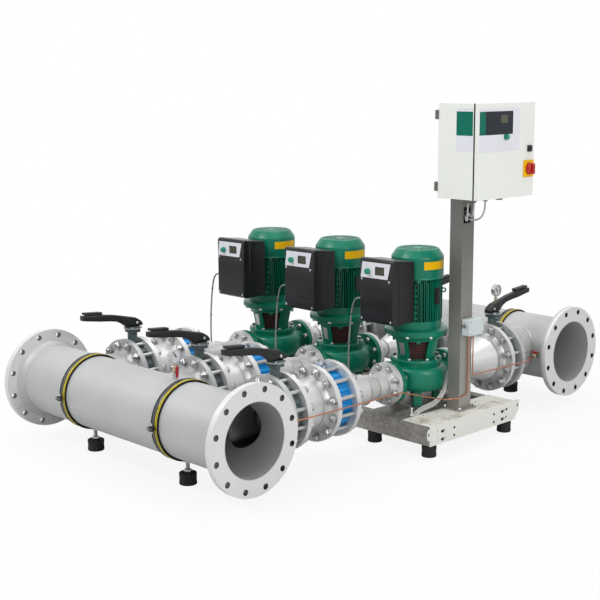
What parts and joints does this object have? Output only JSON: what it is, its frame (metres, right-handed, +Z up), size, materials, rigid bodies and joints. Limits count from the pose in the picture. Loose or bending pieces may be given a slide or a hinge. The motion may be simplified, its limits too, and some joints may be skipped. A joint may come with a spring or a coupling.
{
  "type": "booster pump set",
  "caption": "Booster set: vertical in-line pumps with converters between flanged headers, wafer valves, base frame and a control cabinet on a post.",
  "frame": {"origin": "centre of the set's footprint on the floor", "axes": "+X along the headers towards the cabinet's door, +Y from the discharge header to the suction header, +Z up"},
  "size_m": [1.7946, 2.65, 1.557],
  "materials": {
    "pipe_steel": "pickled pale steel, satin",
    "valve_grey": "grey-green enamel",
    "check_blue": "blue enamel",
    "stud_zinc": "zinc plated",
    "pump_green": "dark green enamel, semi-gloss",
    "guard_brown": "perforated sheet, dark",
    "converter_black": "moulded, matt",
    "lever_black": "black powder coat",
    "grip_black": "moulded grip",
    "disc_steel": "machined",
    "rotor_steel": "machined and cast",
    "knob_green": "moulded knob",
    "lining_black": "clamp lining",
    "strap_zinc": "zinc plated strap",
    "foot_rubber": "moulded foot",
    "frame_zinc": "galvanised channel",
    "frame_cream": "pale powder coat",
    "post_grey": "grey powder coat",
    "cabinet_white": "fine textured powder coat",
    "switch_red": "rotary handle",
    "lock_black": "door lock",
    "box_grey": "junction box",
    "gauge_metal": "gauge, cocks and fittings",
    "needle_black": "pointer",
    "handle_red": "dipped red",
    "copper": "drawn copper tube",
    "cable_grey": "grey sheath"
  },
  "bodies": {
    "set": {"discharge_header": "pipe_steel", "suction_header": "pipe_steel", "lane_pipework": "pipe_steel", "valve_bodies": "valve_grey", "tie_studs": "stud_zinc", "check_valve_bodies": "check_blue", "pump_casings": "pump_green", "lanterns": "pump_green", "motor_housings": "pump_green", "fan_covers": "pump_green", "coupling_guards": "guard_brown", "converters": "converter_black", "clamp_linings": "lining_black", "clamp_straps": "strap_zinc", "rubber_feet": "foot_rubber", "frame_steelwork": "frame_zinc", "frame_ends": "frame_cream", "control_post": "post_grey", "cabinet_housing": "cabinet_white", "junction_box": "box_grey", "gauges": "gauge_metal", "copper_tubes": "copper", "cabinet_cables": "cable_grey", "pump_cables": "cable_grey", "post_cables": "cable_grey"},
    "discharge_valve_1": {"discharge_lever_1": "lever_black", "discharge_disc_1": "disc_steel"},
    "discharge_grip_1": {"discharge_grip_1": "grip_black"},
    "suction_valve_1": {"suction_lever_1": "lever_black", "suction_disc_1": "disc_steel"},
    "suction_grip_1": {"suction_grip_1": "grip_black"},
    "check_disc_1": {"check_disc_1": "disc_steel"},
    "rotor_1": {"rotor_1": "rotor_steel"},
    "converter_knob_1": {"converter_knob_1": "knob_green"},
    "discharge_valve_2": {"discharge_lever_2": "lever_black", "discharge_disc_2": "disc_steel"},
    "discharge_grip_2": {"discharge_grip_2": "grip_black"},
    "suction_valve_2": {"suction_lever_2": "lever_black", "suction_disc_2": "disc_steel"},
    "suction_grip_2": {"suction_grip_2": "grip_black"},
    "check_disc_2": {"check_disc_2": "disc_steel"},
    "rotor_2": {"rotor_2": "rotor_steel"},
    "converter_knob_2": {"converter_knob_2": "knob_green"},
    "discharge_valve_3": {"discharge_lever_3": "lever_black", "discharge_disc_3": "disc_steel"},
    "discharge_grip_3": {"discharge_grip_3": "grip_black"},
    "suction_valve_3": {"suction_lever_3": "lever_black", "suction_disc_3": "disc_steel"},
    "suction_grip_3": {"suction_grip_3": "grip_black"},
    "check_disc_3": {"check_disc_3": "disc_steel"},
    "rotor_3": {"rotor_3": "rotor_steel"},
    "converter_knob_3": {"converter_knob_3": "knob_green"},
    "cabinet_door": {"cabinet_door": "cabinet_white"},
    "main_switch": {"main_switch": "switch_red"},
    "door_lock": {"door_lock": "lock_black"},
    "door_knob": {"door_knob": "knob_green"},
    "discharge_needle": {"discharge_needle": "needle_black"},
    "suction_needle": {"suction_needle": "needle_black"},
    "gauge_cock_handle": {"gauge_cock_handle": "handle_red"},
    "drain_cock_handle": {"drain_cock_handle": "handle_red"}
  },
  "joints": [
    {"name": "discharge_valve_1_turn", "type": "hinge", "parent": "set", "child": "discharge_valve_1", "pos_m": [-0.6383, -0.761, 0.276], "axis": [0, 0, -1], "range_deg": [0, 90]},
    {"name": "discharge_grip_1_squeeze", "type": "hinge", "parent": "discharge_valve_1", "child": "discharge_grip_1", "pos_m": [-0.6383, -0.945, 0.58998], "axis": [1, 0, 0], "range_deg": [0, 2], "stiffness_Nm_per_rad": 20, "springref_deg": -5.73},
    {"name": "suction_valve_1_turn", "type": "hinge", "parent": "set", "child": "suction_valve_1", "pos_m": [-0.6383, 0.733, 0.276], "axis": [0, 0, -1], "range_deg": [0, 90]},
    {"name": "suction_grip_1_squeeze", "type": "hinge", "parent": "suction_valve_1", "child": "suction_grip_1", "pos_m": [-0.6383, 0.917, 0.58998], "axis": [-1, 0, 0], "range_deg": [0, 2], "stiffness_Nm_per_rad": 20, "springref_deg": -5.73},
    {"name": "check_disc_1_lift", "type": "slide", "parent": "set", "child": "check_disc_1", "axis": [0, -1, 0], "range_m": [0, 0.025], "stiffness_N_per_m": 2000, "springref_m": -0.01},
    {"name": "rotor_1_spin", "type": "hinge", "parent": "set", "child": "rotor_1", "pos_m": [-0.6383, 0.145, 0.36], "axis": [0, 0, 1], "continuous": true},
    {"name": "converter_knob_1_turn", "type": "hinge", "parent": "set", "child": "converter_knob_1", "pos_m": [-0.6863, -0.14, 0.805], "axis": [0, -1, 0], "continuous": true},
    {"name": "discharge_valve_2_turn", "type": "hinge", "parent": "set", "child": "discharge_valve_2", "pos_m": [-0.1383, -0.761, 0.276], "axis": [0, 0, -1], "range_deg": [0, 90]},
    {"name": "discharge_grip_2_squeeze", "type": "hinge", "parent": "discharge_valve_2", "child": "discharge_grip_2", "pos_m": [-0.1383, -0.945, 0.58998], "axis": [1, 0, 0], "range_deg": [0, 2], "stiffness_Nm_per_rad": 20, "springref_deg": -5.73},
    {"name": "suction_valve_2_turn", "type": "hinge", "parent": "set", "child": "suction_valve_2", "pos_m": [-0.1383, 0.733, 0.276], "axis": [0, 0, -1], "range_deg": [0, 90]},
    {"name": "suction_grip_2_squeeze", "type": "hinge", "parent": "suction_valve_2", "child": "suction_grip_2", "pos_m": [-0.1383, 0.917, 0.58998], "axis": [-1, 0, 0], "range_deg": [0, 2], "stiffness_Nm_per_rad": 20, "springref_deg": -5.73},
    {"name": "check_disc_2_lift", "type": "slide", "parent": "set", "child": "check_disc_2", "axis": [0, -1, 0], "range_m": [0, 0.025], "stiffness_N_per_m": 2000, "springref_m": -0.01},
    {"name": "rotor_2_spin", "type": "hinge", "parent": "set", "child": "rotor_2", "pos_m": [-0.1383, 0.145, 0.36], "axis": [0, 0, 1], "continuous": true},
    {"name": "converter_knob_2_turn", "type": "hinge", "parent": "set", "child": "converter_knob_2", "pos_m": [-0.1863, -0.14, 0.805], "axis": [0, -1, 0], "continuous": true},
    {"name": "discharge_valve_3_turn", "type": "hinge", "parent": "set", "child": "discharge_valve_3", "pos_m": [0.3617, -0.761, 0.276], "axis": [0, 0, -1], "range_deg": [0, 90]},
    {"name": "discharge_grip_3_squeeze", "type": "hinge", "parent": "discharge_valve_3", "child": "discharge_grip_3", "pos_m": [0.3617, -0.945, 0.58998], "axis": [1, 0, 0], "range_deg": [0, 2], "stiffness_Nm_per_rad": 20, "springref_deg": -5.73},
    {"name": "suction_valve_3_turn", "type": "hinge", "parent": "set", "child": "suction_valve_3", "pos_m": [0.3617, 0.733, 0.276], "axis": [0, 0, -1], "range_deg": [0, 90]},
    {"name": "suction_grip_3_squeeze", "type": "hinge", "parent": "suction_valve_3", "child": "suction_grip_3", "pos_m": [0.3617, 0.917, 0.58998], "axis": [-1, 0, 0], "range_deg": [0, 2], "stiffness_Nm_per_rad": 20, "springref_deg": -5.73},
    {"name": "check_disc_3_lift", "type": "slide", "parent": "set", "child": "check_disc_3", "axis": [0, -1, 0], "range_m": [0, 0.025], "stiffness_N_per_m": 2000, "springref_m": -0.01},
    {"name": "rotor_3_spin", "type": "hinge", "parent": "set", "child": "rotor_3", "pos_m": [0.3617, 0.145, 0.36], "axis": [0, 0, 1], "continuous": true},
    {"name": "converter_knob_3_turn", "type": "hinge", "parent": "set", "child": "converter_knob_3", "pos_m": [0.3137, -0.14, 0.805], "axis": [0, -1, 0], "continuous": true},
    {"name": "cabinet_door_swing", "type": "hinge", "parent": "set", "child": "cabinet_door", "pos_m": [0.8423, -0.032, 1.149], "axis": [0, 0, -1], "range_deg": [0, 110]},
    {"name": "main_switch_turn", "type": "hinge", "parent": "cabinet_door", "child": "main_switch", "pos_m": [0.8453, 0.319, 1.268], "axis": [1, 0, 0], "range_deg": [0, 90]},
    {"name": "door_lock_turn", "type": "hinge", "parent": "cabinet_door", "child": "door_lock", "pos_m": [0.8453, 0.322, 1.356], "axis": [1, 0, 0], "range_deg": [0, 90]},
    {"name": "door_knob_turn", "type": "hinge", "parent": "cabinet_door", "child": "door_knob", "pos_m": [0.8453, 0.149, 1.412], "axis": [1, 0, 0], "continuous": true},
    {"name": "discharge_needle_swing", "type": "hinge", "parent": "set", "child": "discharge_needle", "pos_m": [0.1117, -1.095, 0.536], "axis": [1, 0, 0], "range_deg": [-100, 170], "stiffness_Nm_per_rad": 0.05},
    {"name": "suction_needle_swing", "type": "hinge", "parent": "set", "child": "suction_needle", "pos_m": [0.1117, 1.095, 0.536], "axis": [1, 0, 0], "range_deg": [-100, 170], "stiffness_Nm_per_rad": 0.05},
    {"name": "gauge_cock_handle_turn", "type": "hinge", "parent": "set", "child": "gauge_cock_handle", "pos_m": [0.1117, -1.095, 0.486], "axis": [-1, 0, 0], "range_deg": [0, 90]},
    {"name": "drain_cock_handle_turn", "type": "hinge", "parent": "set", "child": "drain_cock_handle", "pos_m": [0.5017, 0.91105, 0.268], "axis": [0, 0, 1], "range_deg": [0, 90]}
  ]
}
